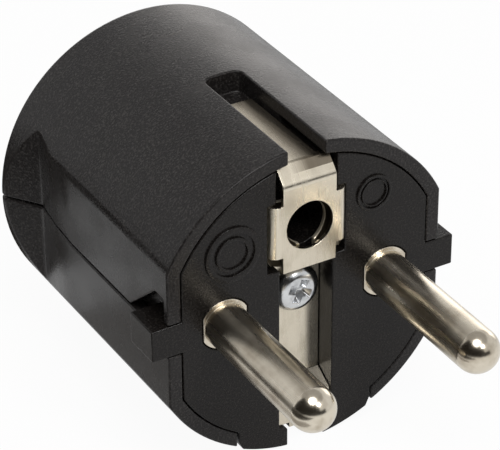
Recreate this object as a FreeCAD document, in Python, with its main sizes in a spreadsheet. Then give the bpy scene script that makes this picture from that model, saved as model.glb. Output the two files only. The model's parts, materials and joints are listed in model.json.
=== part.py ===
import FreeCAD, Part
import math
import os
import Sketcher

# Rewirable earthed plug: two moulded half shells round a pin carrier, held by one screw in the face.
# X runs across the pins, Y from the face into the body, Z up. The origin is the centre of the face.
# All sizes are in millimetres.

SIZES = {
    # the moulded body
    "body_radius": 17.9,
    "body_length": 34.8,
    "rear_bevel": 0.7,
    "rim_wall": 1.55,
    "body_wall": 2.2,
    "rear_wall": 2.4,
    "bulkhead": 2.0,
    "parting_gap": 0.25,
    "clearance": 0.1,
    # the side flats that the fingers hold
    "flat_cut": 1.85,
    "grip_draw": 0.85,
    "grip_bow": 0.24,
    "grip_start": 21.0,
    "ramp_length": 3.8,
    "ramp_round": 1.0,
    "flange_length": 1.4,
    # the slots for the earth strips
    "slot_width": 4.3,
    "slot_length": 17.0,
    "slot_round": 0.8,
    "slot_floor": 1.0,
    # the notch over each guide rib
    "notch_lip": 0.9,
    "notch_shelf": 2.6,
    "notch_length": 8.2,
    "notch_rise": 2.9,
    "notch_round": 1.0,
    # the pin carrier
    "carrier_depth": 9.0,
    "rib_height": 3.6,
    "rib_length": 4.5,
    "block_width": 16.0,
    "block_proud": 0.2,
    "block_length": 7.0,
    "block_lead": 0.45,
    "block_lead_height": 1.0,
    "gate_gap": 0.2,
    "ledge_bevel": 0.5,
    # the pins and their terminal barrels
    "pin_radius": 2.4,
    "pin_length": 19.0,
    "pin_spacing": 19.0,
    "collar_radius": 2.85,
    "collar_flat": 0.35,
    "collar_length": 4.0,
    "barrel_radius": 3.7,
    "barrel_reach": 9.5,
    "wire_radius": 1.5,
    "wire_depth": 8.0,
    # the folded earth contacts
    "sheet": 0.5,
    "contact_width": 6.2,
    "strip_gap": 0.35,
    "strip_end_gap": 3.0,
    "clip_proud": 0.6,
    "clip_foot": 4.1,
    "crease_drop": 1.8,
    "crease_radius": 1.2,
    "bend_depth": 1.0,
    "bend_gap": 0.45,
    "lip_width": 5.2,
    "earth_height": 9.0,
    "earth_hole_radius": 2.7,
    "leaf_radius": 2.4,
    "leaf_gap": 1.7,
    "leaf_lift": 0.1,
    "wing_width": 1.35,
    "wing_height": 6.0,
    "hem_radius": 0.9,
    "leaf_drop": 1.7,
    "strap_recess": 2.6,
    "strap_overlap": 0.4,
    "strap_foot": 4.9,
    "strap_drop": 1.4,
    "strap_toe": 0.3,
    # the centre screw and the earth terminal block
    "screw_head_radius": 2.7,
    "screw_head_height": 1.5,
    "screw_radius": 1.7,
    "recess_reach": 1.45,
    "recess_arm": 0.65,
    "recess_depth": 0.8,
    "block_gap": 1.9,
    "screw_end_gap": 0.4,
    # the terminal screws
    "stud_radius": 1.4,
    "stud_head_radius": 2.2,
    "stud_head_height": 1.5,
    "stud_lift": 0.5,
    "stud_from_end": 4.0,
    "driver_slot": 0.7,
    # the cord clamp
    "cable_radius": 4.2,
    "mouth_bevel": 0.8,
    "stop_wall": 1.4,
    "clamp_depth": 5.0,
    "clamp_seat": 0.6,
    "clamp_foot": 2.4,
    "clamp_arch": 1.6,
    "clamp_crown": 2.2,
    "clamp_side_gap": 1.2,
    "clamp_screw_radius": 1.3,
    "clamp_screw_length": 8.0,
    "clamp_head_radius": 2.1,
    "clamp_head_height": 1.5,
}

# Worked-out sizes, as formulas over the sheet.
SEAT_RADIUS = "(Size.body_radius - Size.rim_wall)"
SEAT_HALF = "(Size.body_radius - Size.flat_cut - Size.rim_wall)"
CARRIER_RADIUS = f"({SEAT_RADIUS} - Size.clearance)"
CARRIER_HALF = f"({SEAT_HALF} - Size.clearance)"
FLAT_HALF = "(Size.body_radius - Size.flat_cut)"
GRIP_HALF = f"({FLAT_HALF} - Size.grip_draw)"
GRIP_END = "(Size.body_length - Size.flange_length - Size.ramp_length)"
OUTSIDE = "(Size.body_radius + 1)"
CAVITY_START = "(Size.carrier_depth + Size.bulkhead)"
CAVITY_END = "(Size.body_length - Size.rear_wall)"
CAVITY_RADIUS = "(Size.body_radius - Size.body_wall)"
PIN_X = "(Size.pin_spacing / 2)"
TERMINAL_REACH = f"({PIN_X} + Size.stud_head_radius + Size.clearance)"
CAVITY_HALF = f"(max({GRIP_HALF} - Size.body_wall; {TERMINAL_REACH}))"
CAVITY_SHOULDER = f"sqrt({CAVITY_RADIUS}^2 - {CAVITY_HALF}^2)"
CONTACT_HALF = "(Size.contact_width / 2)"
CONTACT_TOP = f"(sqrt({SEAT_RADIUS}^2 - {CONTACT_HALF}^2) - Size.clearance)"
STRIP_FLOOR = f"({CONTACT_TOP} - Size.sheet - Size.clearance)"
CAVITY_TOP = f"({STRIP_FLOOR} - Size.slot_floor)"
CAVITY_TOP_HALF = f"sqrt({CAVITY_RADIUS}^2 - {CAVITY_TOP}^2)"
STRIP_HALF = "(Size.slot_width / 2 - Size.strip_gap)"
STRIP_END = "(Size.slot_length - Size.strip_end_gap)"
COLLAR_HALF = "(Size.collar_radius - Size.collar_flat)"
BARREL_HOLE = "(Size.barrel_radius + Size.clearance)"
BARREL_END = f"({CAVITY_START} + Size.barrel_reach)"
STUD_Y = f"({BARREL_END} - Size.stud_from_end)"
STUD_HOLE = "(Size.stud_radius + Size.clearance / 2)"
SCREW_HOLE = "(Size.screw_radius + Size.clearance)"
EARTH_WELL = "(Size.earth_hole_radius + Size.sheet)"
WING_HALF = f"({CONTACT_HALF} + Size.wing_width)"
HEM_BACK = "(2 * Size.hem_radius - Size.clip_proud)"
WING_LOW = "(Size.earth_height - Size.wing_height / 2)"
WING_TOP = "(Size.earth_height + Size.wing_height / 2)"
LEAF_LOW = f"({WING_LOW} - Size.leaf_drop)"
CREASE = f"({CONTACT_TOP} - Size.crease_drop)"
STRAP_TOP = "(Size.clip_foot + Size.sheet + Size.strap_overlap)"
CHANNEL_HALF = f"({CONTACT_HALF} + Size.clearance / 2)"
CHANNEL_DEPTH = "(Size.strap_recess + Size.sheet + Size.clearance)"
STOP_START = f"({BARREL_END} + Size.clearance)"
CLAMP_MIDDLE = f"(({STOP_START} + Size.stop_wall + {CAVITY_END}) / 2)"
CLAMP_START = f"({CLAMP_MIDDLE} - Size.clamp_depth / 2)"
CLAMP_HALF = f"({CAVITY_HALF} - Size.clamp_side_gap)"
CLAMP_INNER = "(Size.cable_radius + Size.clamp_arch)"
CLAMP_SCREW_X = f"(({CLAMP_INNER} + {CLAMP_HALF}) / 2)"

doc = FreeCAD.newDocument("plug")
sheet = doc.addObject("Spreadsheet::Sheet", "Size")
for row, (name, value) in enumerate(SIZES.items(), start=1):
    sheet.set(f"A{row}", name)
    sheet.set(f"B{row}", str(value))
    sheet.setAlias(f"B{row}", name)
workings = doc.addObject("Spreadsheet::Sheet", "Workings")
doc.recompute()


def number(formula):
    """The present value of a formula, so that a sketch starts at its true size."""
    workings.set("A1", "=" + formula)
    workings.recompute()
    return float(workings.get("A1"))


def origin_feature(body, role):
    return next(feature for feature in body.Origin.OriginFeatures if feature.Role == role)


def new_body(label, x="0", y="0"):
    """A body of its own, moved across or back where one drawing serves several places."""
    body = doc.addObject("PartDesign::Body", label)
    body.Label = label
    body.setExpression("Placement.Base.x", x)
    body.setExpression("Placement.Base.y", y)
    return body


def sketch_on(body, role, offset):
    sketch = body.newObject("Sketcher::SketchObject", "Sketch")
    sketch.AttachmentSupport = [(origin_feature(body, role), "")]
    sketch.MapMode = "FlatFace"
    sketch.setExpression("AttachmentOffset.Base.z", offset)
    return sketch


def front_sketch(body, depth="0"):
    """A drawing seen from the front, at a depth behind the face."""
    return sketch_on(body, "XZ_Plane", f"-({depth})")


def top_sketch(body, height="0"):
    """A drawing seen from above, at a height over the pins' plane."""
    return sketch_on(body, "XY_Plane", height)


def side_sketch(body):
    """A drawing in the middle plane, with Y to the right and Z up."""
    return sketch_on(body, "YZ_Plane", "0")


def bind(sketch, constraint, formula):
    index = sketch.addConstraint(constraint)
    sketch.setExpression(f"Constraints[{index}]", formula)


def fix_point(sketch, edge, end, x, y):
    """Ties one point of an edge to its two coordinates."""
    for kind, axis, formula in (("DistanceX", -2, x), ("DistanceY", -1, y)):
        if formula == "0":
            sketch.addConstraint(Sketcher.Constraint("PointOnObject", edge, end, axis))
        else:
            bind(sketch, Sketcher.Constraint(kind, -1, 1, edge, end, number(formula)), formula)


def arc_edge(first, last, turn, centre_axis, centre):
    """An arc between two points, with one coordinate of its centre given."""
    other = 1 - centre_axis
    spread = (first[centre_axis] - centre) ** 2 - (last[centre_axis] - centre) ** 2
    hub = FreeCAD.Vector(0, 0, 0)
    hub[centre_axis] = centre
    hub[other] = (spread + first[other] ** 2 - last[other] ** 2) / (2 * (first[other] - last[other]))
    start, stop = (first, last) if turn == "left" else (last, first)
    begin = math.atan2(start.y - hub.y, start.x - hub.x)
    end = math.atan2(stop.y - hub.y, stop.x - hub.x)
    if end <= begin:
        end += 2 * math.pi
    circle = Part.Circle(hub, FreeCAD.Vector(0, 0, 1), (first - hub).Length)
    return Part.ArcOfCircle(circle, begin, end)


def outline(sketch, corners):
    """A closed outline. A corner is x, y, or x, y, turn, axis, centre where an arc leads to it."""
    points = [FreeCAD.Vector(number(corner[0]), number(corner[1]), 0) for corner in corners]
    edges = []
    for index, corner in enumerate(corners):
        first, last = points[index - 1], points[index]
        if len(corner) == 2:
            edges.append((sketch.addGeometry(Part.LineSegment(first, last)), 1, 2))
            continue
        turn, axis, centre = corner[2:]
        edge = sketch.addGeometry(arc_edge(first, last, turn, axis, number(centre)))
        edges.append((edge, 1, 2) if turn == "left" else (edge, 2, 1))
    for index, (edge, start, end) in enumerate(edges):
        before, _, before_end = edges[index - 1]
        sketch.addConstraint(Sketcher.Constraint("Coincident", before, before_end, edge, start))
    for corner, (edge, start, end) in zip(corners, edges):
        fix_point(sketch, edge, end, corner[0], corner[1])
        if len(corner) > 2:
            axis, centre = corner[3:]
            if centre == "0":
                rail = -2 if axis == 0 else -1
                sketch.addConstraint(Sketcher.Constraint("PointOnObject", edge, 3, rail))
            else:
                kind = ("DistanceX", "DistanceY")[axis]
                bind(sketch, Sketcher.Constraint(kind, -1, 1, edge, 3, number(centre)), centre)


def rectangle(sketch, left, right, low, high):
    outline(sketch, [(left, low), (right, low), (right, high), (left, high)])


def circle(sketch, x, y, radius):
    hub = FreeCAD.Vector(number(x), number(y), 0)
    edge = sketch.addGeometry(Part.Circle(hub, FreeCAD.Vector(0, 0, 1), number(radius)))
    fix_point(sketch, edge, 3, x, y)
    bind(sketch, Sketcher.Constraint("Radius", edge, number(radius)), radius)


def flatted_round(sketch, middle, radius, half):
    """A round with two upright flats, on the pins' plane."""
    rise = f"sqrt(({radius})^2 - ({half})^2)"
    left, right = f"{middle} - {half}", f"{middle} + {half}"
    outline(sketch, [(left, rise, "left", 1, "0"), (left, f"-{rise}"),
                     (right, f"-{rise}", "left", 1, "0"), (right, rise)])


def add(body, kind, sketch, length, reverse=False, both_ways=False):
    feature = body.newObject("PartDesign::" + kind, kind)
    feature.Profile = sketch
    feature.setExpression("Length", length)
    feature.Reversed = reverse
    feature.SideType = "Symmetric" if both_ways else "One side"
    return feature


def pad_back(body, sketch, length):
    return add(body, "Pad", sketch, length, reverse=True)


def cut_back(body, sketch, length):
    return add(body, "Pocket", sketch, length)


def pad_up(body, sketch, length):
    return add(body, "Pad", sketch, length)


def cut_up(body, sketch, length):
    return add(body, "Pocket", sketch, length, reverse=True)


def cut_down(body, sketch, length):
    return add(body, "Pocket", sketch, length)


def pad_across(body, sketch, length):
    return add(body, "Pad", sketch, length, both_ways=True)


def cut_across(body, sketch, length):
    return add(body, "Pocket", sketch, length, both_ways=True)


def turn(body, sketch, axis):
    feature = body.newObject("PartDesign::Revolution", "Revolution")
    feature.Profile = sketch
    feature.ReferenceAxis = (origin_feature(body, axis), [""])
    feature.Angle = 360
    return feature


def dress_edges(body, base, kind, size_name, size, wanted):
    """Rounds or bevels the edges of a feature that the test picks."""
    doc.recompute()
    names = [f"Edge{index}" for index, edge in enumerate(base.Shape.Edges, start=1) if wanted(edge)]
    feature = body.newObject("PartDesign::" + kind, kind)
    feature.Base = (base, names)
    feature.setExpression(size_name, size)
    return feature


def round_edges(body, base, radius, wanted):
    return dress_edges(body, base, "Fillet", "Radius", radius, wanted)


def bevel_edges(body, base, size, wanted):
    return dress_edges(body, base, "Chamfer", "Size", size, wanted)


def near(value, formula):
    return abs(value - number(formula)) < 0.01


# The shells

def cavity_outline(sketch, side, level):
    """The lower or upper half of the hollow, from a level near the parting plane to its floor."""
    sign = "" if side > 0 else "-"
    outline(sketch, [(f"-{CAVITY_HALF}", level), (CAVITY_HALF, level),
                     (CAVITY_HALF, sign + CAVITY_SHOULDER), (CAVITY_TOP_HALF, sign + CAVITY_TOP),
                     (f"-{CAVITY_TOP_HALF}", sign + CAVITY_TOP),
                     (f"-{CAVITY_HALF}", sign + CAVITY_SHOULDER)])


def grip_cut(sketch, sign):
    """One side flat: level at the front, bowed in over the grip, with a ramp out to the rear flange."""
    ramp_far = (f"({GRIP_END} + Size.ramp_length * ({OUTSIDE} - {GRIP_HALF})"
                f" / (Size.body_radius - {GRIP_HALF}))")
    bow = f"({FLAT_HALF} - min(Size.grip_bow; Size.grip_draw / 2))"
    outline(sketch, [(sign + FLAT_HALF, "-1"), (sign + FLAT_HALF, "Size.grip_start"),
                     (sign + bow, f"(Size.grip_start + {GRIP_END}) / 2"), (sign + GRIP_HALF, GRIP_END),
                     (sign + OUTSIDE, ramp_far), (sign + OUTSIDE, "-1")])


def half_shell(label, side):
    """A half of the body: round outside, with its flats, seat, bulkhead, hollow, slot and cable mouth."""
    sign = "" if side > 0 else "-"
    body = new_body(label)
    billet_sketch = front_sketch(body)
    circle(billet_sketch, "0", "0", "Size.body_radius")
    billet = pad_back(body, billet_sketch, "Size.body_length")
    bevel_edges(body, billet, "Size.rear_bevel",
                lambda edge: edge.Closed and near(edge.CenterOfMass.y, "Size.body_length"))

    other_half = front_sketch(body, "-1")
    kept_level = sign + "Size.parting_gap / 2"
    far_level = f"-{OUTSIDE}" if side > 0 else OUTSIDE
    rectangle(other_half, f"-{OUTSIDE}", OUTSIDE, kept_level, far_level)
    cut_back(body, other_half, "Size.body_length + 2")

    grips = top_sketch(body)
    grip_cut(grips, "")
    grip_cut(grips, "-")
    cut_across(body, grips, f"2 * {OUTSIDE}")

    seat = front_sketch(body)
    flatted_round(seat, "0", SEAT_RADIUS, SEAT_HALF)
    cut_back(body, seat, "Size.carrier_depth")

    hollow = front_sketch(body, CAVITY_START)
    cavity_outline(hollow, side, "0")
    cut_back(body, hollow, f"{CAVITY_END} - {CAVITY_START}")

    barrel_bores = front_sketch(body, "Size.carrier_depth / 2")
    circle(barrel_bores, PIN_X, "0", BARREL_HOLE)
    circle(barrel_bores, f"-{PIN_X}", "0", BARREL_HOLE)
    cut_back(body, barrel_bores, f"{STOP_START} - Size.carrier_depth / 2")
    bulkhead_holes = front_sketch(body, "Size.carrier_depth / 2")
    circle(bulkhead_holes, "0", "0", SCREW_HOLE)
    if side > 0:
        circle(bulkhead_holes, "0", "Size.earth_height", EARTH_WELL)
    cut_back(body, bulkhead_holes, "Size.carrier_depth / 2 + Size.bulkhead")

    ribs = side_sketch(body)
    rectangle(ribs, "-1", "Size.rib_length + Size.clearance",
              "-(Size.rib_height / 2 + Size.clearance)", "Size.rib_height / 2 + Size.clearance")
    cut_across(body, ribs, f"2 * {OUTSIDE}")

    mouth = front_sketch(body, f"{CAVITY_END} - 1")
    circle(mouth, "0", "0", "Size.cable_radius")
    hole = cut_back(body, mouth, "Size.rear_wall + 2")
    bevel_edges(body, hole, "Size.mouth_bevel",
                lambda edge: near(edge.CenterOfMass.x, "0") and edge.Curve.TypeId == "Part::GeomCircle"
                and near(edge.Curve.Radius, "Size.cable_radius")
                and near(edge.Curve.Center.y, "Size.body_length"))

    round_edges(body, body.Tip, "Size.ramp_round",
                lambda edge: near(abs(edge.CenterOfMass.x), GRIP_HALF)
                and near(edge.CenterOfMass.y, GRIP_END))

    slot = top_sketch(body, sign + STRIP_FLOOR)
    rectangle(slot, "-Size.slot_width / 2", "Size.slot_width / 2", "-1", "Size.slot_length")
    open_slot = cut_up if side > 0 else cut_down
    slotted = open_slot(body, slot, OUTSIDE)
    round_edges(body, slotted, "Size.slot_round",
                lambda edge: near(edge.CenterOfMass.y, "Size.slot_length")
                and near(abs(edge.CenterOfMass.x), "Size.slot_width / 2"))
    return body


upper_shell = half_shell("upper_shell", 1)
notch = side_sketch(upper_shell)
notch_top = "(Size.rib_height / 2 + Size.notch_rise)"
outline(notch, [("Size.notch_lip", "0"), ("Size.notch_length", "0"), ("Size.notch_shelf", notch_top),
                ("Size.notch_lip", notch_top)])
notched = cut_across(upper_shell, notch, f"2 * {OUTSIDE}")
round_edges(upper_shell, notched, "Size.notch_round",
            lambda edge: near(edge.CenterOfMass.y, "Size.notch_shelf")
            and near(edge.CenterOfMass.z, notch_top))

lower_shell = half_shell("lower_shell", -1)
block_gate = top_sketch(lower_shell, f"-{CARRIER_RADIUS} / 2")
rectangle(block_gate, "-(Size.block_width / 2 + Size.gate_gap)", "Size.block_width / 2 + Size.gate_gap",
          "-1", "Size.block_length + Size.gate_gap")
cut_down(lower_shell, block_gate, OUTSIDE)

stop = front_sketch(lower_shell, STOP_START)
cavity_outline(stop, -1, "-Size.parting_gap / 2")
pad_back(lower_shell, stop, "Size.stop_wall")
wire_gates = front_sketch(lower_shell, BARREL_END)
gate_half = "(Size.wire_radius + 2 * Size.clearance)"
for middle in (f"-{PIN_X}", "0", PIN_X):
    rectangle(wire_gates, f"{middle} - {gate_half}", f"{middle} + {gate_half}", f"-{gate_half}", "1")
cut_back(lower_shell, wire_gates, "Size.stop_wall + 1")

saddle = front_sketch(lower_shell, CLAMP_START)
cavity_outline(saddle, -1, "-Size.clamp_seat")
pad_back(lower_shell, saddle, "Size.clamp_depth")
groove = front_sketch(lower_shell, f"{CLAMP_START} - 1")
circle(groove, "0", "0", "Size.cable_radius")
cut_back(lower_shell, groove, "Size.clamp_depth + 2")
clamp_holes = top_sketch(lower_shell)
for middle in (f"-{CLAMP_SCREW_X}", CLAMP_SCREW_X):
    circle(clamp_holes, middle, CLAMP_MIDDLE, "Size.clamp_screw_radius + Size.clearance / 2")
cut_down(lower_shell, clamp_holes, "Size.clamp_screw_length")


# The pin carrier

pin_carrier = new_body("pin_carrier")
plate = front_sketch(pin_carrier)
flatted_round(plate, "0", CARRIER_RADIUS, CARRIER_HALF)
pad_back(pin_carrier, plate, "Size.carrier_depth")

guide_ribs = front_sketch(pin_carrier)
for sign in ("", "-"):
    rectangle(guide_ribs, f"{sign}({CARRIER_HALF} - 1)", f"{sign}Size.body_radius",
              "-Size.rib_height / 2", "Size.rib_height / 2")
pad_back(pin_carrier, guide_ribs, "Size.rib_length")

block = front_sketch(pin_carrier)
block_radius = "(Size.body_radius + Size.block_proud)"
block_foot = "(Size.block_width / 2 - Size.block_lead)"
block_low = f"-sqrt({block_radius}^2 - {block_foot}^2)"
lead_top = f"({block_low} + Size.block_lead_height)"
block_root = f"-{CARRIER_RADIUS} / 2"
outline(block, [("-Size.block_width / 2", block_root), ("-Size.block_width / 2", lead_top),
                (f"-{block_foot}", block_low), (block_foot, block_low, "left", 1, "0"),
                ("Size.block_width / 2", lead_top), ("Size.block_width / 2", block_root)])
pad_back(pin_carrier, block, "Size.block_length")

channel = front_sketch(pin_carrier)
rectangle(channel, f"-{CHANNEL_HALF}", CHANNEL_HALF, f"-{STRIP_FLOOR}", f"{STRAP_TOP} + Size.clearance")
cut_back(pin_carrier, channel, CHANNEL_DEPTH)
lower_slot = top_sketch(pin_carrier, f"-{STRIP_FLOOR}")
rectangle(lower_slot, "-Size.slot_width / 2", "Size.slot_width / 2", "-1", "Size.carrier_depth + 1")
slotted_block = cut_down(pin_carrier, lower_slot, OUTSIDE)
ledge = f"({CHANNEL_HALF} - Size.slot_width / 2)"
bevel_edges(pin_carrier, slotted_block, f"min(Size.ledge_bevel; {ledge} / 2)",
            lambda edge: near(abs(edge.CenterOfMass.x), "Size.slot_width / 2")
            and near(edge.CenterOfMass.y, f"{CHANNEL_DEPTH} / 2")
            and near(edge.CenterOfMass.z, f"-{STRIP_FLOOR}"))
upper_slot = top_sketch(pin_carrier, STRIP_FLOOR)
rectangle(upper_slot, f"-{CHANNEL_HALF}", CHANNEL_HALF, "-1", "Size.carrier_depth + 1")
cut_up(pin_carrier, upper_slot, OUTSIDE)

hem_pocket = front_sketch(pin_carrier)
rectangle(hem_pocket, f"-({WING_HALF} + Size.clearance)", f"{WING_HALF} + Size.clearance",
          f"{LEAF_LOW} - Size.clearance", f"{WING_TOP} + Size.clearance")
cut_back(pin_carrier, hem_pocket, f"{HEM_BACK} + Size.clearance")
bend_pocket = front_sketch(pin_carrier)
bend_half = f"({CONTACT_HALF} + Size.bend_gap)"
rectangle(bend_pocket, f"-{bend_half}", bend_half, WING_TOP, OUTSIDE)
cut_back(pin_carrier, bend_pocket, "Size.bend_depth + Size.sheet")
well = front_sketch(pin_carrier)
circle(well, "0", "Size.earth_height", EARTH_WELL)
cut_back(pin_carrier, well, "Size.carrier_depth + 1")

collar_holes = front_sketch(pin_carrier)
barrel_holes = front_sketch(pin_carrier, "Size.collar_length")
for middle in (f"-{PIN_X}", PIN_X):
    flatted_round(collar_holes, middle, "(Size.collar_radius + Size.clearance)",
                  f"({COLLAR_HALF} + Size.clearance)")
    circle(barrel_holes, middle, "0", BARREL_HOLE)
cut_back(pin_carrier, collar_holes, "Size.collar_length")
cut_back(pin_carrier, barrel_holes, "Size.carrier_depth")
screw_hole = front_sketch(pin_carrier)
circle(screw_hole, "0", "0", SCREW_HOLE)
cut_back(pin_carrier, screw_hole, "Size.carrier_depth + 1")


# The pins, turned in one piece with their collars and terminal barrels

def contact_pin(label, x):
    body = new_body(label, x)
    profile = top_sketch(body)
    tip_middle = "Size.pin_radius - Size.pin_length"
    outline(profile, [("0", "-Size.pin_length"), ("Size.pin_radius", tip_middle, "left", 0, "0"),
                      ("Size.pin_radius", "0"), ("Size.collar_radius", "0"),
                      ("Size.collar_radius", "Size.collar_length"),
                      ("Size.barrel_radius", "Size.collar_length"),
                      ("Size.barrel_radius", BARREL_END), ("0", BARREL_END)])
    turn(body, profile, "Y_Axis")
    flats = front_sketch(body)
    for sign in ("", "-"):
        rectangle(flats, sign + COLLAR_HALF, f"{sign}(Size.collar_radius + 1)",
                  "-(Size.collar_radius + 1)", "Size.collar_radius + 1")
    cut_back(body, flats, "Size.collar_length")
    wire_hole = front_sketch(body, f"{BARREL_END} - Size.wire_depth")
    circle(wire_hole, "0", "0", "Size.wire_radius")
    cut_back(body, wire_hole, "Size.wire_depth + 1")
    stud_hole = top_sketch(body)
    circle(stud_hole, "0", STUD_Y, STUD_HOLE)
    cut_up(body, stud_hole, "Size.barrel_radius + 1")
    return body


left_pin = contact_pin("left_pin", f"-{PIN_X}")
right_pin = contact_pin("right_pin", PIN_X)


# The upper earth contact: a front plate with the pin hole, folded over the top into a strip.
# Its two wings are hemmed round behind the plate and end in leaves that grip the socket's earth pin.

upper_contact = new_body("upper_earth_contact")
fold = side_sketch(upper_contact)
plate_back = "(Size.sheet - Size.clip_proud)"
outline(fold, [("Size.strap_recess", "Size.clip_foot"), ("-Size.clip_proud", "Size.clip_foot"),
               ("-Size.clip_proud", CREASE), ("Size.bend_depth", CONTACT_TOP),
               (STRIP_END, CONTACT_TOP), (STRIP_END, f"{CONTACT_TOP} - Size.sheet"),
               ("Size.bend_depth + Size.sheet / 3", f"{CONTACT_TOP} - Size.sheet"),
               (plate_back, f"{CREASE} - Size.sheet / 3"), (plate_back, "Size.clip_foot + Size.sheet"),
               ("Size.strap_recess", "Size.clip_foot + Size.sheet")])
folded = pad_across(upper_contact, fold, "Size.contact_width")
creased = round_edges(upper_contact, folded, "Size.crease_radius",
                      lambda edge: near(edge.CenterOfMass.y, "-Size.clip_proud")
                      and near(edge.CenterOfMass.z, CREASE) and near(edge.CenterOfMass.x, "0"))
round_edges(upper_contact, creased, "Size.sheet",
            lambda edge: near(edge.CenterOfMass.y, "Size.bend_depth")
            and near(edge.CenterOfMass.z, CONTACT_TOP) and near(edge.CenterOfMass.x, "0"))
narrow = top_sketch(upper_contact, f"{CONTACT_TOP} - 2 * Size.sheet")
lip_sides = top_sketch(upper_contact, "Size.clip_foot - Size.sheet")
for sign in ("", "-"):
    rectangle(narrow, sign + STRIP_HALF, f"{sign}({CONTACT_HALF} + 1)",
              "Size.bend_depth + Size.sheet", f"{STRIP_END} + 1")
    rectangle(lip_sides, f"{sign}Size.lip_width / 2", f"{sign}({CONTACT_HALF} + 1)",
              plate_back, "Size.strap_recess + 1")
cut_up(upper_contact, narrow, "3 * Size.sheet")
cut_up(upper_contact, lip_sides, "3 * Size.sheet")

wings = top_sketch(upper_contact, WING_LOW)
leaf_ends = top_sketch(upper_contact, LEAF_LOW)
leaf_corners = front_sketch(upper_contact, "Size.clearance / 2")
hem_middle = "(Size.hem_radius - Size.clip_proud)"
leaf_front = f"({plate_back} + Size.leaf_lift)"
for sign, way, back in (("", "left", "right"), ("-", "right", "left")):
    hem_x = f"{sign}({WING_HALF} - Size.hem_radius)"
    leaf_x = f"{sign}Size.leaf_gap / 2"
    root_x = f"{sign}({CONTACT_HALF} - Size.sheet)"
    leaf = [(leaf_x, f"{leaf_front} + Size.sheet"), (leaf_x, leaf_front), (hem_x, f"{HEM_BACK} - Size.sheet")]
    outline(wings, [(root_x, "-Size.clip_proud"), (hem_x, "-Size.clip_proud"),
                    (hem_x, HEM_BACK, way, 0, hem_x), *leaf,
                    (hem_x, plate_back, back, 0, hem_x), (root_x, plate_back)])
    outline(leaf_ends, [(sign + WING_HALF, hem_middle), (hem_x, HEM_BACK, way, 0, hem_x), *leaf,
                        (f"{sign}({WING_HALF} - Size.sheet)", hem_middle, back, 0, hem_x)])
    corner_x = f"{sign}({WING_HALF} - Size.leaf_drop)"
    outside_x = f"{sign}({WING_HALF} + 1)"
    outline(leaf_corners, [(corner_x, LEAF_LOW), (sign + WING_HALF, WING_LOW, way, 0, corner_x),
                           (outside_x, WING_LOW), (outside_x, f"{LEAF_LOW} - 1"),
                           (corner_x, f"{LEAF_LOW} - 1")])
pad_up(upper_contact, leaf_ends, "Size.leaf_drop + Size.sheet")
cut_back(upper_contact, leaf_corners, HEM_BACK)
pad_up(upper_contact, wings, "Size.wing_height")
leaf_edges = front_sketch(upper_contact, plate_back)
circle(leaf_edges, "0", "Size.earth_height", "Size.leaf_radius")
cut_back(upper_contact, leaf_edges, "2 * Size.hem_radius")
pin_hole = front_sketch(upper_contact, "-Size.clip_proud - 1")
circle(pin_hole, "0", "Size.earth_height", "Size.earth_hole_radius")
cut_back(upper_contact, pin_hole, "1 + Size.sheet + Size.leaf_lift / 2")


# The lower earth contact: a strap down the channel, set forward to a foot near the face,
# and folded back under the foot into the bottom strip

lower_contact = new_body("lower_earth_contact")
strap = side_sketch(lower_contact)
foot_top = f"({CONTACT_TOP} - Size.strap_foot)"
foot_low = f"({foot_top} + Size.strap_drop)"
strap_back = "(Size.strap_recess + Size.sheet)"
foot_run = "(Size.strap_recess - Size.strap_toe)"
foot_back = "(Size.strap_toe + Size.sheet)"
inside_drop = f"(Size.sheet * (sqrt({foot_run}^2 + Size.strap_drop^2) - Size.strap_drop) / {foot_run})"
outline(strap, [("Size.strap_recess", STRAP_TOP), ("Size.strap_recess", f"-{foot_top}"),
                ("Size.strap_toe", f"-{foot_low}"), ("Size.strap_toe", f"-{CONTACT_TOP}"),
                (STRIP_END, f"-{CONTACT_TOP}"), (STRIP_END, f"Size.sheet - {CONTACT_TOP}"),
                (foot_back, f"Size.sheet - {CONTACT_TOP}"), (foot_back, f"-({foot_low} + {inside_drop})"),
                (strap_back, f"-({foot_top} + {inside_drop})"), (strap_back, STRAP_TOP)])
pad_across(lower_contact, strap, "Size.contact_width")
strip_cut = top_sketch(lower_contact, f"-{STRIP_FLOOR}")
for sign in ("", "-"):
    rectangle(strip_cut, sign + STRIP_HALF, f"{sign}({CONTACT_HALF} + 1)",
              "-1", f"{STRIP_END} + 1")
cut_down(lower_contact, strip_cut, "2 * Size.sheet")
strap_hole = front_sketch(lower_contact)
circle(strap_hole, "0", "0", SCREW_HOLE)
cut_back(lower_contact, strap_hole, "Size.strap_recess + 2")


# The centre screw, and the tapped block behind the bulkheads that it draws forward

centre_screw = new_body("centre_screw")
screw_face = "(Size.strap_recess - Size.screw_head_height)"
screw_tip = f"({STUD_Y} - Size.stud_radius - Size.screw_end_gap)"
screw_profile = top_sketch(centre_screw)
outline(screw_profile, [("0", screw_face), ("0.7 * Size.screw_head_radius", screw_face),
                        ("Size.screw_head_radius", "Size.strap_recess - 0.6 * Size.screw_head_height"),
                        ("Size.screw_head_radius", "Size.strap_recess"),
                        ("Size.screw_radius", "Size.strap_recess"), ("Size.screw_radius", screw_tip),
                        ("0", screw_tip)])
turn(centre_screw, screw_profile, "Y_Axis")
cross = front_sketch(centre_screw, screw_face)
reach, arm = "Size.recess_reach", "Size.recess_arm / 2"
outline(cross, [(f"-{arm}", reach), (f"-{arm}", arm), (f"-{reach}", arm), (f"-{reach}", f"-{arm}"),
                (f"-{arm}", f"-{arm}"), (f"-{arm}", f"-{reach}"), (arm, f"-{reach}"),
                (arm, f"-{arm}"), (reach, f"-{arm}"), (reach, arm), (arm, arm), (arm, reach)])
cut_back(centre_screw, cross, "Size.recess_depth")

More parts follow.
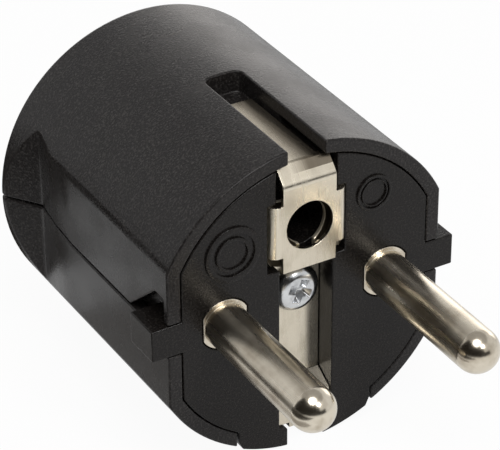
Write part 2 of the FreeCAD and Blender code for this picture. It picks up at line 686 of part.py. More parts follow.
earth_block = new_body("earth_terminal_block")
bar = front_sketch(earth_block, CAVITY_START)
bar_half = f"({PIN_X} - Size.barrel_radius - Size.block_gap)"
rectangle(bar, f"-{bar_half}", bar_half, "-Size.barrel_radius", "Size.barrel_radius")
pad_back(earth_block, bar, "Size.barrel_reach")
thread = front_sketch(earth_block, "Size.carrier_depth")
circle(thread, "0", "0", "Size.screw_radius + Size.clearance / 2")
cut_back(earth_block, thread, "Size.body_length")
block_stud = top_sketch(earth_block)
circle(block_stud, "0", STUD_Y, STUD_HOLE)
cut_up(earth_block, block_stud, "Size.barrel_radius + 1")


# Slotted screws that stand upright: the three wire screws and the two screws of the cord clamp

def upright_screw(label, x, y, tip, under_head, radius, head_radius, head_height):
    body = new_body(label, x, y)
    profile = sketch_on(body, "XZ_Plane", "0")
    head_top = f"({under_head} + {head_height})"
    outline(profile, [("0", tip), (radius, tip), (radius, under_head), (head_radius, under_head),
                      (head_radius, head_top), ("0", head_top)])
    turn(body, profile, "Z_Axis")
    slot = top_sketch(body, head_top)
    rectangle(slot, f"-({head_radius} + 1)", f"{head_radius} + 1",
              "-Size.driver_slot / 2", "Size.driver_slot / 2")
    cut_down(body, slot, f"{head_height} / 2")
    return body


terminals = {"left_terminal_screw": f"-{PIN_X}", "earth_terminal_screw": "0", "right_terminal_screw": PIN_X}
wire_screws = [upright_screw(label, x, STUD_Y, "Size.stud_lift", "(Size.barrel_radius + Size.stud_lift)",
                             "Size.stud_radius", "Size.stud_head_radius", "Size.stud_head_height")
               for label, x in terminals.items()]

cord_clamp = new_body("cord_clamp")
clamp = front_sketch(cord_clamp, CLAMP_START)
clamp_foot_top = "(Size.clamp_foot - Size.clamp_seat)"
crown_top = "(Size.cable_radius + Size.clamp_crown)"
crown_half = "(Size.cable_radius - Size.clamp_arch / 2)"
outline(clamp, [(f"-{CLAMP_HALF}", "-Size.clamp_seat"), (CLAMP_HALF, "-Size.clamp_seat"),
                (CLAMP_HALF, clamp_foot_top), (CLAMP_INNER, clamp_foot_top), (crown_half, crown_top),
                (f"-{crown_half}", crown_top), (f"-{CLAMP_INNER}", clamp_foot_top),
                (f"-{CLAMP_HALF}", clamp_foot_top)])
pad_back(cord_clamp, clamp, "Size.clamp_depth")
arch = front_sketch(cord_clamp, f"{CLAMP_START} - 1")
circle(arch, "0", "0", "Size.cable_radius")
cut_back(cord_clamp, arch, "Size.clamp_depth + 2")
bar_holes = top_sketch(cord_clamp, f"-{CLAMP_HALF}")
for middle in (f"-{CLAMP_SCREW_X}", CLAMP_SCREW_X):
    circle(bar_holes, middle, CLAMP_MIDDLE, "Size.clamp_screw_radius + Size.clearance")
cut_up(cord_clamp, bar_holes, f"2 * {CLAMP_HALF}")

clamp_tip = f"({clamp_foot_top} - Size.clamp_screw_length)"
clamp_screws = [upright_screw(label, x, CLAMP_MIDDLE, clamp_tip, clamp_foot_top,
                              "Size.clamp_screw_radius", "Size.clamp_head_radius", "Size.clamp_head_height")
                for label, x in (("left_clamp_screw", f"-{CLAMP_SCREW_X}"),
                                 ("right_clamp_screw", CLAMP_SCREW_X))]

doc.removeObject("Workings")
doc.recompute()

for item in doc.Objects:
    if "Invalid" in item.State or "Error" in item.State:
        raise RuntimeError(f"{item.Name} did not build: {item.State}")

os.makedirs("parts", exist_ok=True)
for body in doc.findObjects("PartDesign::Body"):
    shape = body.Shape
    if shape.isNull() or not shape.isValid():
        raise RuntimeError(f"{body.Label} has no valid shape")
    shape.exportStep(f"parts/{body.Label}.step")
    print(body.Label, len(shape.Solids), round(shape.Volume, 2))
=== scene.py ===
import json
import math
import bpy
from mathutils import Matrix, Vector

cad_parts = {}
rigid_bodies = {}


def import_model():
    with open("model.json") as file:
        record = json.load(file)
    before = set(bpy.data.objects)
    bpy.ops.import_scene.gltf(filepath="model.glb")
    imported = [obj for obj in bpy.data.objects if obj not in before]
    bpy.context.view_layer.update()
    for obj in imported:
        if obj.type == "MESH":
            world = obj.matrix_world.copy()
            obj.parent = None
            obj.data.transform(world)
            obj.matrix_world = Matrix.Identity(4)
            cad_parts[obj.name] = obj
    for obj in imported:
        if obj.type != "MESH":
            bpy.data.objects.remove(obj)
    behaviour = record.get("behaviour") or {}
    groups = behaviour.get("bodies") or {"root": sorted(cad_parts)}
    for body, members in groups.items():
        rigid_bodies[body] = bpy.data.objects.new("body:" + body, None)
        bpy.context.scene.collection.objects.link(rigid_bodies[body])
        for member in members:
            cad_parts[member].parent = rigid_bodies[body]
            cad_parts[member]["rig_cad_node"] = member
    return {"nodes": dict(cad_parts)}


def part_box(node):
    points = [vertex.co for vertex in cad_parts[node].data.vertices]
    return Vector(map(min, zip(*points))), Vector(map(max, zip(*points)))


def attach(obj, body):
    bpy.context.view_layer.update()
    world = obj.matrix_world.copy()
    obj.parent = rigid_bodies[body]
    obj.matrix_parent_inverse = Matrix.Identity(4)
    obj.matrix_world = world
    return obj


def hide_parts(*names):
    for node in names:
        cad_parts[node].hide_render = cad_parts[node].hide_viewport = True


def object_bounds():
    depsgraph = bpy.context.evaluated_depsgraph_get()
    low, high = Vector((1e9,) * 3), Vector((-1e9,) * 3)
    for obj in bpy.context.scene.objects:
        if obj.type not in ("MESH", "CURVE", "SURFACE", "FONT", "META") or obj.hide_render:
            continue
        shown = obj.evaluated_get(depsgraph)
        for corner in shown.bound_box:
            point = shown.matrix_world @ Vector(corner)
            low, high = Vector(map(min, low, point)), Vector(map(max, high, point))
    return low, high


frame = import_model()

cad_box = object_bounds()
nodes = frame["nodes"]

# The lower half shell.
# Black thermoset, moulded in one shot: grained on its round outside, smoother on the flats that the
# fingers hold. The mould leaves every edge slightly round.
MM = 0.001
SHELL_EDGE = 0.22 * MM
EDGE_STEPS = 3
EDGE_ANGLE = math.radians(30)
SMOOTH_ANGLE = math.radians(38)
FLAT_ANGLE = math.radians(1)
SAME_POINT = 0.0005 * MM
SHELL_BLACK = (0.0100, 0.0087, 0.0084, 1)
SHELL_WORN = (0.0400, 0.0365, 0.0346, 1)
CLOUD_SCALE, CLOUD_DETAIL = 190, 5
SPECKLE_SCALE, SPECKLE_DETAIL = 4600, 3
CLOUD_SHARE = 0.12
TINT_SPAN = (0.49, 0.68)
NOISE_SPAN = (0.3, 0.7)
PLASTIC_SPREAD = 0.07
SIDE_SPAN = (0.93, 0.98)


def select_only(piece):
    bpy.ops.object.select_all(action="DESELECT")
    piece.select_set(True)
    bpy.context.view_layer.objects.active = piece


def shade_evenly(piece):
    """Smooth shading in which the large faces stay flat up to their rounded edges."""
    select_only(piece)
    bpy.ops.object.shade_smooth_by_angle(angle=SMOOTH_ANGLE)
    even = piece.modifiers.new("even_shading", "WEIGHTED_NORMAL")
    even.keep_sharp = True
    bpy.ops.object.modifier_apply(modifier="even_shading")


def round_edges(piece, width, steps, angle):
    """Rounds the edges at which faces turn by more than an angle."""
    select_only(piece)
    rounding = piece.modifiers.new("rounding", "BEVEL")
    rounding.width = width
    rounding.segments = steps
    rounding.limit_method = "ANGLE"
    rounding.angle_limit = angle
    rounding.use_clamp_overlap = False
    bpy.ops.object.modifier_apply(modifier="rounding")
    shade_evenly(piece)


def moulded_copy(node, name, edge):
    """A merged copy of a node's mesh with its sharp edges rounded, to stand for the node."""
    select_only(nodes[node])
    bpy.ops.object.duplicate()
    piece = bpy.context.active_object
    piece.name = name
    del piece["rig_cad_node"]
    bpy.ops.mesh.customdata_custom_splitnormals_clear()
    bpy.ops.object.mode_set(mode="EDIT")
    bpy.ops.mesh.select_all(action="SELECT")
    bpy.ops.mesh.remove_doubles(threshold=SAME_POINT)
    bpy.ops.mesh.dissolve_limited(angle_limit=FLAT_ANGLE)
    bpy.ops.object.mode_set(mode="OBJECT")
    round_edges(piece, edge, EDGE_STEPS, EDGE_ANGLE)
    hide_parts(node)
    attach(piece, "root")
    return piece


def new_material(name):
    material = bpy.data.materials.new(name)
    material.use_nodes = True
    return material, material.node_tree, material.node_tree.nodes["Principled BSDF"]


def axes_of(tree, kind, socket):
    """The X, Y and Z outputs of a place, or of the way that a face looks."""
    split = tree.nodes.new("ShaderNodeSeparateXYZ")
    tree.links.new(tree.nodes.new(kind).outputs[socket], split.inputs["Vector"])
    return split.outputs


def noise(tree, place, scale, detail):
    texture = tree.nodes.new("ShaderNodeTexNoise")
    texture.inputs["Scale"].default_value = scale
    texture.inputs["Detail"].default_value = detail
    tree.links.new(place, texture.inputs["Vector"])
    return texture.outputs["Fac"]


def maths(tree, operation, *values, clamp=False):
    """A math node's output. Each value is a number or the output of another node."""
    node = tree.nodes.new("ShaderNodeMath")
    node.operation = operation
    node.use_clamp = clamp
    for socket, value in zip(node.inputs, values):
        if isinstance(value, (int, float)):
            socket.default_value = value
        else:
            tree.links.new(value, socket)
    return node.outputs[0]


def remap(tree, value, span, low, high):
    """Carries a span of values over to the range between low and high, and holds it there."""
    node = tree.nodes.new("ShaderNodeMapRange")
    for socket, number in zip(("From Min", "From Max", "To Min", "To Max"), (*span, low, high)):
        node.inputs[socket].default_value = number
    tree.links.new(value, node.inputs["Value"])
    return node.outputs["Result"]


def two_tone(tree, value, span, dark, light):
    """A colour that goes from dark to light over a span of values."""
    node = tree.nodes.new("ShaderNodeValToRGB")
    for element, position, colour in zip((0, 1), span, (dark, light)):
        node.color_ramp.elements[element].position = position
        node.color_ramp.elements[element].color = colour
    tree.links.new(value, node.inputs["Fac"])
    return node.outputs["Color"]


def plastic(name, dark, light, rough, gloss, grain, side_grain):
    """Moulded plastic: faint clouding, uneven gloss, and a fine grain that may be weaker on the sides."""
    material, tree, shader = new_material(name)
    shader.inputs["Specular IOR Level"].default_value = gloss
    place = tree.nodes.new("ShaderNodeTexCoord").outputs["Object"]
    cloud = noise(tree, place, CLOUD_SCALE, CLOUD_DETAIL)
    speckle = noise(tree, place, SPECKLE_SCALE, SPECKLE_DETAIL)
    mottle = tree.nodes.new("ShaderNodeMix")
    mottle.inputs["Factor"].default_value = CLOUD_SHARE
    tree.links.new(speckle, mottle.inputs["A"])
    tree.links.new(cloud, mottle.inputs["B"])
    tint = two_tone(tree, mottle.outputs["Result"], TINT_SPAN, dark, light)
    uneven = remap(tree, cloud, NOISE_SPAN, rough - PLASTIC_SPREAD, rough + PLASTIC_SPREAD)
    sideways = maths(tree, "ABSOLUTE", axes_of(tree, "ShaderNodeNewGeometry", "True Normal")["X"])
    relief = tree.nodes.new("ShaderNodeBump")
    relief.inputs["Distance"].default_value = grain
    tree.links.new(remap(tree, sideways, SIDE_SPAN, 1, side_grain), relief.inputs["Strength"])
    tree.links.new(speckle, relief.inputs["Height"])
    tree.links.new(tint, shader.inputs["Base Color"])
    tree.links.new(uneven, shader.inputs["Roughness"])
    tree.links.new(relief.outputs["Normal"], shader.inputs["Normal"])
    return material


def dress(piece, material):
    piece.data.materials.clear()
    piece.data.materials.append(material)


shell_black = plastic("shell_black", SHELL_BLACK, SHELL_WORN, rough=0.27, gloss=0.22, grain=0.042 * MM,
                      side_grain=0.3)
lower_moulding = moulded_copy("lower_shell", "lower_shell_moulding", SHELL_EDGE)
dress(lower_moulding, shell_black)

# The earth terminal block and the wire screws.
# The block is sawn from brass bar, drilled and tapped; the screws are turned steel with a slotted head
# and a zinc coat. They are inside the closed body.
BRASS = (0.72, 0.55, 0.26, 1)
BRASS_DULL = (0.55, 0.40, 0.18, 1)
ZINC = (0.66, 0.67, 0.68, 1)
ZINC_DULL = (0.40, 0.41, 0.43, 1)
STREAK_SCALE, STREAK_DETAIL = 1500, 5
STAIN_SCALE, STAIN_DETAIL = 420, 4
STREAK_SHARE = 0.35
STAIN_SPAN = (0.48, 0.74)
METAL_SPREAD = 0.06
MARK_STRENGTH = 0.12
MARK_DEPTH = 0.01 * MM


def plated_metal(name, bright, dull, rough, marks):
    """Metal with soft stains of tarnish, and fine tool marks that are longest where marks is least."""
    material, tree, shader = new_material(name)
    shader.inputs["Metallic"].default_value = 1
    place = tree.nodes.new("ShaderNodeTexCoord").outputs["Object"]
    stretch = tree.nodes.new("ShaderNodeMapping")
    stretch.inputs["Scale"].default_value = marks
    tree.links.new(place, stretch.inputs["Vector"])
    streak = noise(tree, stretch.outputs["Vector"], STREAK_SCALE, STREAK_DETAIL)
    stain = noise(tree, place, STAIN_SCALE, STAIN_DETAIL)
    both = maths(tree, "MULTIPLY_ADD", streak, STREAK_SHARE, stain)
    relief = tree.nodes.new("ShaderNodeBump")
    relief.inputs["Strength"].default_value = MARK_STRENGTH
    relief.inputs["Distance"].default_value = MARK_DEPTH
    tree.links.new(streak, relief.inputs["Height"])
    tree.links.new(two_tone(tree, both, STAIN_SPAN, dull, bright), shader.inputs["Base Color"])
    tree.links.new(remap(tree, streak, NOISE_SPAN, rough + METAL_SPREAD, rough - METAL_SPREAD),
                   shader.inputs["Roughness"])
    tree.links.new(relief.outputs["Normal"], shader.inputs["Normal"])
    return material


brass = plated_metal("machined_brass", BRASS, BRASS_DULL, rough=0.3, marks=(1, 0.1, 1))
zinc = plated_metal("bright_zinc", ZINC, ZINC_DULL, rough=0.22, marks=(1, 1, 1))
dress(nodes["earth_terminal_block"], brass)
for name in ("left_terminal_screw", "earth_terminal_screw", "right_terminal_screw"):
    dress(nodes[name], zinc)

# The two pins.
# Each is turned from brass bar in one piece with its collar and terminal barrel, and nickel plated.
# The collar's two flats stop it from turning in the carrier, and its round tip is polished.
PIN_EDGE = 0.08 * MM
NICKEL = (0.68, 0.62, 0.515, 1)
NICKEL_DULL = (0.50, 0.44, 0.35, 1)
TIP_START = -16.6 * MM
TIP_ROUGH = 0.2


def lay_over(material, socket, mask, value, data_type="FLOAT"):
    """Mixes a value over what goes into one of the shader's sockets, by a mask."""
    tree = material.node_tree
    target = tree.nodes["Principled BSDF"].inputs[socket]
    mix = tree.nodes.new("ShaderNodeMix")
    mix.data_type = data_type
    mix.inputs["B"].default_value = value
    tree.links.new(mask, mix.inputs["Factor"])
    tree.links.new(target.links[0].from_socket, mix.inputs["A"])
    tree.links.new(mix.outputs["Result"], target)


nickel = plated_metal("pin_nickel", NICKEL, NICKEL_DULL, rough=0.28, marks=(1, 0.05, 1))
along_pin = axes_of(nickel.node_tree, "ShaderNodeTexCoord", "Object")["Y"]
lay_over(nickel, "Roughness", maths(nickel.node_tree, "LESS_THAN", along_pin, TIP_START), TIP_ROUGH)
for name in ("left_pin", "right_pin"):
    dress(moulded_copy(name, name + "_turning", PIN_EDGE), nickel)

# The pin carrier.
# One black moulding with a smoother, glossier face than the shells: it holds the pins, carries the
# guide ribs at its sides and the keyed block at its bottom, and its channel takes the earth strap.
CARRIER_EDGE = 0.15 * MM
CARRIER_BLACK = (0.0066, 0.0055, 0.0050, 1)
CARRIER_LIGHT = (0.0200, 0.0178, 0.0160, 1)
carrier_black = plastic("carrier_black", CARRIER_BLACK, CARRIER_LIGHT, rough=0.2, gloss=0.2, grain=0.03 * MM,
                        side_grain=1)
carrier = moulded_copy("pin_carrier", "pin_carrier_moulding", CARRIER_EDGE)
dress(carrier, carrier_black)

# The ring marks on the face.
# Plain rings that stand a little proud of the carrier's face, where such plugs have moulded marks.
# Each is moulded with the carrier: a wide ring with a finer one inside it.
RING_HEIGHT = 0.24 * MM
RING_SUNK = 0.04 * MM
RING_EDGE = 0.05 * MM
RING_STEPS = 72
RING_SAME_POINT = 0.001 * MM
FINE_INSET = 1.7
FINE_WIDTH = 0.5


def face_ring(name, x, z, radius, width):
    """One raised ring: a rounded profile turned about an axis square to the face."""
    bpy.ops.object.select_all(action="DESELECT")
    middle = (RING_SUNK - RING_HEIGHT) / 2
    bpy.ops.mesh.primitive_plane_add(size=1, location=(x + radius - width / 2, middle, z))
    ring = bpy.context.active_object
    ring.name = name
    ring.scale = (width, RING_HEIGHT + RING_SUNK, 1)
    bpy.ops.object.transform_apply(location=True, rotation=True, scale=True)
    bpy.ops.object.mode_set(mode="EDIT")
    bpy.ops.mesh.select_all(action="SELECT")
    bpy.ops.mesh.bevel(offset=RING_EDGE, segments=EDGE_STEPS, affect="VERTICES")
    bpy.ops.mesh.delete(type="ONLY_FACE")
    bpy.ops.mesh.select_all(action="SELECT")
    bpy.ops.mesh.spin(steps=RING_STEPS, angle=2 * math.pi, center=(x, 0, z), axis=(0, 1, 0))
    bpy.ops.mesh.select_all(action="SELECT")
    bpy.ops.mesh.remove_doubles(threshold=RING_SAME_POINT)
    bpy.ops.mesh.normals_make_consistent(inside=False)
    bpy.ops.object.mode_set(mode="OBJECT")
    return ring


for name, x, z, radius, width in (("left_face_rings", -8.6, 8.0, 3.15, 0.7),
                                  ("right_face_rings", 7.9, 10.05, 2.05, 0.3)):
    rings = face_ring(name, x * MM, z * MM, radius * MM, width * MM)
    fine_ring = face_ring(name + "_fine", x * MM, z * MM, (radius - FINE_INSET * width) * MM,
                          FINE_WIDTH * width * MM)
    select_only(rings)
    fine_ring.select_set(True)
    bpy.ops.object.join()
    shade_evenly(rings)
    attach(rings, "root")
    dress(rings, carrier_black)

# The earth contacts.
# Both are stamped and folded from nickel-plated brass sheet. The upper one has the hole and the hemmed
# leaves for a socket's earth pin; the lower one is the strap under the centre screw.
SHEET_EDGE = 0.07 * MM
SHEET_NICKEL = (0.68, 0.62, 0.51, 1)
SHEET_DULL = (0.57, 0.515, 0.41, 1)
SHEET_ROUGH = 0.26
SHEET_MARKS = (1, 0.12, 0.12)
# Painted shade for the leaves' faces inside the hole behind the plate.
LEAF_PAINTED_SHADE = (0.045, 0.036, 0.024, 1)
LEAF_ROUGH = 0.6
LEAF_FRONT = 0.1 * MM
LEAF_TOP = 13 * MM
LEAF_FACING = (0.6, 0.85)
# Painted shade and reflection of the slot's wall, for one side of the top strip.
STRIP_PAINTED_SHADE = (0.13, 0.105, 0.075, 1)
STRIP_START = 15 * MM
STRIP_SPAN = (-1.7 * MM, 0.4 * MM)
STRIP_SHARE = 0.85


def paint_contact_shade(material):
    """Paints the shade and reflection of the slot's wall on one side of the top strip, and shade on the
    leaves behind the plate except on their cut edges.
    """
    tree = material.node_tree
    at = axes_of(tree, "ShaderNodeTexCoord", "Object")
    facing = axes_of(tree, "ShaderNodeNewGeometry", "True Normal")
    on_strip = maths(tree, "GREATER_THAN", at["Z"], STRIP_START)
    aside = remap(tree, at["X"], STRIP_SPAN, 0, STRIP_SHARE)
    # Painted shade and reflection of the slot's wall, on the strip's side next to it.
    lay_over(material, "Base Color", maths(tree, "MULTIPLY", on_strip, aside), STRIP_PAINTED_SHADE, "RGBA")
    behind = maths(tree, "GREATER_THAN", at["Y"], LEAF_FRONT)
    below = maths(tree, "LESS_THAN", at["Z"], LEAF_TOP)
    on_leaf = maths(tree, "MULTIPLY", behind, below)
    flat = remap(tree, maths(tree, "ABSOLUTE", facing["Y"]), LEAF_FACING, 0, 1)
    # Painted shade on the leaves' faces behind the plate, inside the hole.
    lay_over(material, "Base Color", maths(tree, "MULTIPLY", on_leaf, flat), LEAF_PAINTED_SHADE, "RGBA")
    lay_over(material, "Roughness", on_leaf, LEAF_ROUGH)


# The upper contact's nickel carries painted shade on its top strip and its leaves.
leaf_nickel = plated_metal("leaf_nickel", SHEET_NICKEL, SHEET_DULL, SHEET_ROUGH, SHEET_MARKS)
paint_contact_shade(leaf_nickel)
upper_contact = moulded_copy("upper_earth_contact", "upper_contact_folding", SHEET_EDGE)
dress(upper_contact, leaf_nickel)
sheet_nickel = plated_metal("contact_nickel", SHEET_NICKEL, SHEET_DULL, SHEET_ROUGH, SHEET_MARKS)
lower_contact = moulded_copy("lower_earth_contact", "lower_contact_folding", SHEET_EDGE)
dress(lower_contact, sheet_nickel)

# The cord clamp.
# A moulded bar over the saddle of the lower shell, drawn down by two slotted screws.
# It is inside the closed body, and its plastic is a little greyer than the shells'.
CLAMP_BLACK = (0.020, 0.020, 0.021, 1)
CLAMP_GREY = (0.035, 0.035, 0.036, 1)
clamp_black = plastic("clamp_black", CLAMP_BLACK, CLAMP_GREY, rough=0.5, gloss=0.25, grain=0.015 * MM,
                      side_grain=1)
dress(nodes["cord_clamp"], clamp_black)
for name in ("left_clamp_screw", "right_clamp_screw"):
    dress(nodes[name], zinc)

# The upper half shell.
# Of the same moulding as the lower one, with the earth strip's slot along its top and a notch over
# each guide rib. The bulkheads of both shells are held between the carrier and the earth block.
upper_moulding = moulded_copy("upper_shell", "upper_shell_moulding", SHELL_EDGE)
dress(upper_moulding, shell_black)

# The centre screw.
# A pan-head screw with a cross recess, pressed and zinc plated. It goes through the strap, the carrier
# and both bulkheads into the earth block.
SCREW_HEAD = 1.5 * MM
SCREW_SHANK = 1.7 * MM
SCREW_SIDES = 64
SCREW_CROWN = 1.4 * MM
CROWN_STEPS = 8
SCREW_EDGE = 0.07 * MM
SCREW_EDGE_STEPS = 2
SCREW_EDGE_ANGLE = math.radians(32)
RECESS_REACH = 1.9 * MM
RECESS_ARM = 1.25 * MM
RECESS_DEPTH = 1.0 * MM
RECESS_TAPER = 0.45
RECESS_TURN = math.radians(24)
SQUARE = 0.9
screw_low, screw_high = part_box("centre_screw")
screw_radius = screw_high.x
head_front, head_back = screw_low.y, screw_low.y + SCREW_HEAD
bpy.ops.object.select_all(action="DESELECT")
bpy.ops.mesh.primitive_cylinder_add(vertices=SCREW_SIDES, radius=screw_radius, depth=SCREW_HEAD,
                                    location=(0, (head_front + head_back) / 2, 0),
                                    rotation=(math.pi / 2, 0, 0))
screw = bpy.context.active_object
screw.name = "centre_screw_pressing"
bpy.ops.object.transform_apply(location=True, rotation=True, scale=True)


def select_faces(piece, wanted):
    """Leaves the piece in edit mode with the faces that the test picks selected."""
    bpy.ops.object.mode_set(mode="EDIT")
    bpy.ops.mesh.select_mode(type="FACE")
    bpy.ops.mesh.select_all(action="DESELECT")
    bpy.ops.object.mode_set(mode="OBJECT")
    for face in piece.data.polygons:
        face.select = wanted(face)
    bpy.ops.object.mode_set(mode="EDIT")


select_faces(screw, lambda face: face.normal.y > SQUARE)
bpy.ops.mesh.inset(thickness=screw_radius - SCREW_SHANK)
bpy.ops.mesh.extrude_region_move(TRANSFORM_OT_translate={"value": (0, screw_high.y - head_back, 0)})
bpy.ops.object.mode_set(mode="OBJECT")
select_faces(screw, lambda face: face.normal.y < -SQUARE)
bpy.ops.mesh.region_to_loop()
bpy.ops.mesh.bevel(offset=SCREW_CROWN, segments=CROWN_STEPS, profile=0.5, affect="EDGES")
bpy.ops.object.mode_set(mode="OBJECT")

for turn in (RECESS_TURN, RECESS_TURN + math.pi / 2):
    bpy.ops.object.select_all(action="DESELECT")
    bpy.ops.mesh.primitive_cube_add(size=1, location=(0, head_front, 0), rotation=(0, turn, 0))
    punch = bpy.context.active_object
    punch.scale = (2 * RECESS_REACH, 2 * RECESS_DEPTH, RECESS_ARM)
    bpy.ops.object.transform_apply(location=True, rotation=True, scale=True)
    select_faces(punch, lambda face: face.normal.y > SQUARE)
    bpy.ops.transform.resize(value=(RECESS_TAPER, 1, RECESS_TAPER))
    bpy.ops.object.mode_set(mode="OBJECT")
    select_only(screw)
    pressed = screw.modifiers.new("pressed", "BOOLEAN")
    pressed.operation = "DIFFERENCE"
    pressed.solver = "EXACT"
    pressed.object = punch
    bpy.ops.object.modifier_apply(modifier="pressed")
    bpy.data.objects.remove(punch)
round_edges(screw, SCREW_EDGE, SCREW_EDGE_STEPS, SCREW_EDGE_ANGLE)
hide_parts("centre_screw")
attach(screw, "root")
dress(screw, zinc)

# The floor.
# A wide pale table that the plug lies on. It shows white to the camera and partly white in reflections,
# and keeps the rest of its own shading, so that the plug's shadow stays.
FLOOR_HALF = 1.5
FLOOR_PALE = (0.85, 0.85, 0.85, 1)
FLOOR_ROUGH = 0.9
FLOOR_WHITE = 0.945
MIRRORED_WHITE = 0.4
floor_level = cad_box[0].z
bpy.ops.object.select_all(action="DESELECT")
bpy.ops.mesh.primitive_plane_add(size=2 * FLOOR_HALF, location=(0, 0, floor_level))
floor = bpy.context.active_object
floor.name = "floor"


def show_instead(tree, output, share, plain, seen):
    """Shows a second shader in place of the plain one, by a share."""
    blend = tree.nodes.new("ShaderNodeMixShader")
    tree.links.new(share, blend.inputs["Fac"])
    tree.links.new(plain, blend.inputs[1])
    tree.links.new(seen, blend.inputs[2])
    tree.links.new(blend.outputs["Shader"], tree.nodes[output].inputs["Surface"])


pale, pale_tree, pale_shader = new_material("pale_table")
pale_shader.inputs["Base Color"].default_value = FLOOR_PALE
pale_shader.inputs["Roughness"].default_value = FLOOR_ROUGH
pale_shader.inputs["Specular IOR Level"].default_value = 0
white = pale_tree.nodes.new("ShaderNodeEmission")
white.inputs["Strength"].default_value = 1
path = pale_tree.nodes.new("ShaderNodeLightPath").outputs
mirrored = maths(pale_tree, "ADD", path["Is Glossy Ray"], path["Is Transmission Ray"])
mirrored_share = maths(pale_tree, "MULTIPLY", mirrored, MIRRORED_WHITE)
floor_share = maths(pale_tree, "MULTIPLY_ADD", path["Is Camera Ray"], FLOOR_WHITE, mirrored_share, clamp=True)
show_instead(pale_tree, "Material Output", floor_share, pale_shader.outputs["BSDF"],
             white.outputs["Emission"])
floor.data.materials.append(pale)

# The room.
# A pale grey where the camera or a reflection sees it, and a dimmer white for the light that it gives.
ROOM_LIGHT = 0.5
ROOM_PALE = (0.8, 0.8, 0.8, 1)
world = bpy.data.worlds.new("room")
world.use_nodes = True
bpy.context.scene.world = world
room = world.node_tree
room_lamp = room.nodes["Background"]
room_lamp.inputs["Color"].default_value = (1, 1, 1, 1)
room_lamp.inputs["Strength"].default_value = ROOM_LIGHT
backdrop = room.nodes.new("ShaderNodeBackground")
backdrop.inputs["Color"].default_value = ROOM_PALE
backdrop.inputs["Strength"].default_value = 1
path = room.nodes.new("ShaderNodeLightPath").outputs
seen = maths(room, "ADD", path["Is Camera Ray"], path["Is Glossy Ray"])
room_share = maths(room, "ADD", seen, path["Is Transmission Ray"], clamp=True)
show_instead(room, "World Output", room_share, room_lamp.outputs["Background"],
             backdrop.outputs["Background"])

# The dark curtain and the grey ceiling.
# Studio cards that only shiny surfaces see: the curtain stands behind the camera, and the ceiling keeps
# the pale room to a band above the table.
CAMERA_AZIMUTH = math.radians(-30.191)
CARD_RADIUS = 0.7
CARD_CORNERS = 120
CURTAIN_LEFT = math.radians(-95)
CURTAIN_RIGHT = math.radians(66)
CURTAIN_STEP = math.radians(34)
CURTAIN_TOP = 1.15
CURTAIN_LOW = 0.22
CURTAIN_BLACK = (0.02, 0.018, 0.016, 1)
CEILING_HEIGHT = 1.2
CEILING_RADIUS = 1.2
CEILING_CORNERS = 72
CEILING_GREY = (0.4, 0.39, 0.38, 1)


def studio_card(card, name, colour):
    """Shows a card of plain brightness in reflections, and nowhere else."""
    card.name = name
    glow = bpy.data.materials.new(name)
    glow.use_nodes = True
    glow.node_tree.nodes.remove(glow.node_tree.nodes["Principled BSDF"])
    light = glow.node_tree.nodes.new("ShaderNodeEmission")
    light.inputs["Color"].default_value = colour
    output = glow.node_tree.nodes["Material Output"]
    glow.node_tree.links.new(light.outputs["Emission"], output.inputs["Surface"])
    glow.cycles.emission_sampling = "NONE"
    card.data.materials.append(glow)
    for way in ("camera", "diffuse", "transmission", "volume_scatter", "shadow"):
        setattr(card, "visible_" + way, False)


def standing_card(keep, top):
    """A curved card that stands on the table, made of the part of a circle that the test keeps."""
    bpy.ops.object.select_all(action="DESELECT")
    bpy.ops.mesh.primitive_circle_add(vertices=CARD_CORNERS, radius=CARD_RADIUS, location=(0, 0, floor_level))
    card = bpy.context.active_object
    bpy.ops.object.mode_set(mode="EDIT")
    bpy.ops.mesh.select_mode(type="VERT")
    bpy.ops.mesh.select_all(action="DESELECT")
    bpy.ops.object.mode_set(mode="OBJECT")
    for corner in card.data.vertices:
        corner.select = not keep(corner.co)
    bpy.ops.object.mode_set(mode="EDIT")
    bpy.ops.mesh.delete(type="VERT")
    bpy.ops.mesh.select_all(action="SELECT")
    bpy.ops.mesh.extrude_region_move(TRANSFORM_OT_translate={"value": (0, 0, top)})
    bpy.ops.object.mode_set(mode="OBJECT")
    return card


def from_camera(place):
    """How far round the plug a place is from the camera, positive to the camera's right."""
    toward = place.x * math.sin(CAMERA_AZIMUTH) - place.y * math.cos(CAMERA_AZIMUTH)
    aside = place.x * math.cos(CAMERA_AZIMUTH) + place.y * math.sin(CAMERA_AZIMUTH)
    return math.atan2(aside, toward)


curtain = standing_card(lambda place: CURTAIN_LEFT < from_camera(place) < CURTAIN_RIGHT, CURTAIN_TOP)
for corner in curtain.data.vertices:
    if corner.co.z > CURTAIN_LOW and from_camera(corner.co) > CURTAIN_STEP:
        corner.co.z = CURTAIN_LOW
studio_card(curtain, "dark_curtain", CURTAIN_BLACK)
bpy.ops.object.select_all(action="DESELECT")
bpy.ops.mesh.primitive_circle_add(vertices=CEILING_CORNERS, radius=CEILING_RADIUS, fill_type="NGON",
                                  location=(0, 0, CEILING_HEIGHT))
studio_card(bpy.context.active_object, "grey_ceiling", CEILING_GREY)
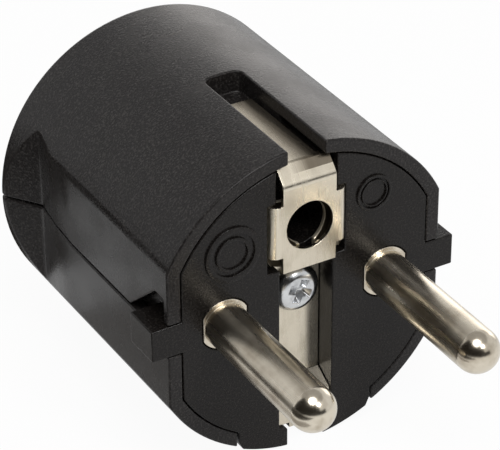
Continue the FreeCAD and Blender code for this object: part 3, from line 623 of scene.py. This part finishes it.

# The bright card, a dark edge and cards of painted shadow on the table.
# More cards for the shiny surfaces: a low bright one behind the plug on its right, a dark edge of the table
# on its left, painted shadow of the plug behind it and, in grey, beside its left front, which the side flats
# show.
BRIGHT_LEFT = math.radians(12)
BRIGHT_RIGHT = math.radians(80)
BRIGHT_TOP = 0.33
BRIGHT = (2.2, 2.12, 2.05, 1)
DARK = (0.05, 0.046, 0.042, 1)
GREY = (0.4, 0.385, 0.37, 1)
EDGE_LIFT = 0.1 * MM
bright_card = standing_card(lambda place: BRIGHT_LEFT < math.atan2(place.x, place.y) < BRIGHT_RIGHT,
                            BRIGHT_TOP)
studio_card(bright_card, "bright_card", BRIGHT)
# The corner and rear cards are painted shadow of the plug behind it, and the grey card is painted shadow
# beside its left front; all show only in reflections.
for name, colour, left, right, front, rear in (("dark_left_edge", DARK, -400, -45, -100, 300),
                                               ("dark_corner", DARK, -45, -28, 59, 300),
                                               ("dark_rear_edge", DARK, -28, 60, 43, 300),
                                               ("grey_front_edge", GREY, -34, -19, -30, 33)):
    bpy.ops.object.select_all(action="DESELECT")
    bpy.ops.mesh.primitive_plane_add(size=MM, location=((left + right) / 2 * MM, (front + rear) / 2 * MM,
                                                        floor_level + EDGE_LIFT))
    edge_card = bpy.context.active_object
    edge_card.scale = (right - left, rear - front, 1)
    studio_card(edge_card, name, colour)

# The lamps.
# A large round soft box above the camera, and a small one in front of the plug, which draws the bright
# lines along its edges and in the reflections of its pins.
PLUG_MIDDLE = Vector((0, 8 * MM, 0))


def way_to(azimuth, elevation):
    """The way from the plug to a place, with azimuth 0 straight in front of the face."""
    return Vector((math.sin(azimuth) * math.cos(elevation), -math.cos(azimuth) * math.cos(elevation),
                   math.sin(elevation)))


for name, azimuth, elevation, distance, size, power in (("soft_box", -27.2, 64.5, 0.42, 0.26, 0.8),
                                                        ("small_box", 8, 43, 0.42, 0.09, 0.45)):
    lamp_way = way_to(math.radians(azimuth), math.radians(elevation))
    bpy.ops.object.light_add(type="AREA", location=PLUG_MIDDLE + distance * lamp_way)
    lamp = bpy.context.active_object
    lamp.name = name
    lamp.data.shape = "DISK"
    lamp.data.size = size
    lamp.data.energy = power
    lamp.rotation_euler = lamp_way.to_track_quat("Z", "Y").to_euler()

# The camera.
# It looks from above the plug's left front, as the photograph was taken, with a long lens.
CAMERA_ELEVATION = math.radians(32.024)
CAMERA_ROLL = math.radians(-0.359)
CAMERA_DISTANCE = 0.267208
CAMERA_AIM = Vector((-0.455, 10.544, 3.15)) * MM
SENSOR_WIDTH = 36
LENS = 184.79
NEAREST = 0.01
back = way_to(CAMERA_AZIMUTH, CAMERA_ELEVATION)
level = Vector((math.cos(CAMERA_AZIMUTH), math.sin(CAMERA_AZIMUTH), 0))
upward = back.cross(level)
camera_right = math.cos(CAMERA_ROLL) * level + math.sin(CAMERA_ROLL) * upward
camera_up = math.cos(CAMERA_ROLL) * upward - math.sin(CAMERA_ROLL) * level
bpy.ops.object.camera_add(location=CAMERA_AIM + CAMERA_DISTANCE * back)
camera = bpy.context.active_object
camera.rotation_euler = Matrix((camera_right, camera_up, back)).transposed().to_euler()
camera.data.sensor_fit = "HORIZONTAL"
camera.data.sensor_width = SENSOR_WIDTH
camera.data.lens = LENS
camera.data.clip_start = NEAREST
bpy.context.scene.camera = camera
bpy.context.scene.view_settings.view_transform = "Standard"
